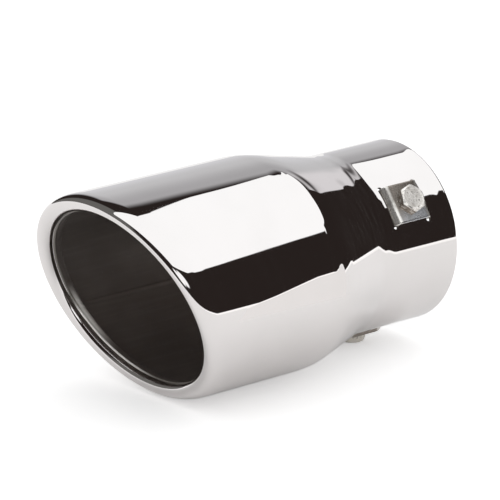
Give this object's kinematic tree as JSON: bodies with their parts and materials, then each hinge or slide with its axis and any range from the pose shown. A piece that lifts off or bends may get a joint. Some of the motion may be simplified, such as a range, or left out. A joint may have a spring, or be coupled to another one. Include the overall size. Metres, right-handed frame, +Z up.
{
  "type": "exhaust tip",
  "caption": "Oval slash-cut exhaust tip with a rolled lip and a round inlet collar that clamps over a tailpipe with bolts through folded brackets.",
  "frame": {"origin": "centre of the round collar's inlet end face, on the tube's axis", "axes": "+Y along the tube's axis, out of the inlet towards the tailpipe; the oval outlet faces -Y; +Z up, on the side where the lip stands furthest out; +X to the right when facing the outlet"},
  "size_m": [0.0968, 0.1502, 0.0824],
  "materials": {
    "polished_steel": "mirror-polished stainless steel outside, dull warm grey inside",
    "bracket_steel": "satin folded sheet",
    "bolt_steel": "plain, with turning marks on the head"
  },
  "bodies": {
    "root": {"tip_shell": "polished_steel", "clamp_bracket_right": "bracket_steel", "clamp_bracket_left": "bracket_steel", "clamp_bracket_lower": "bracket_steel", "clamp_bolt_right": "bolt_steel", "clamp_bolt_left": "bolt_steel", "clamp_bolt_lower": "bolt_steel"}
  },
  "joints": []
}
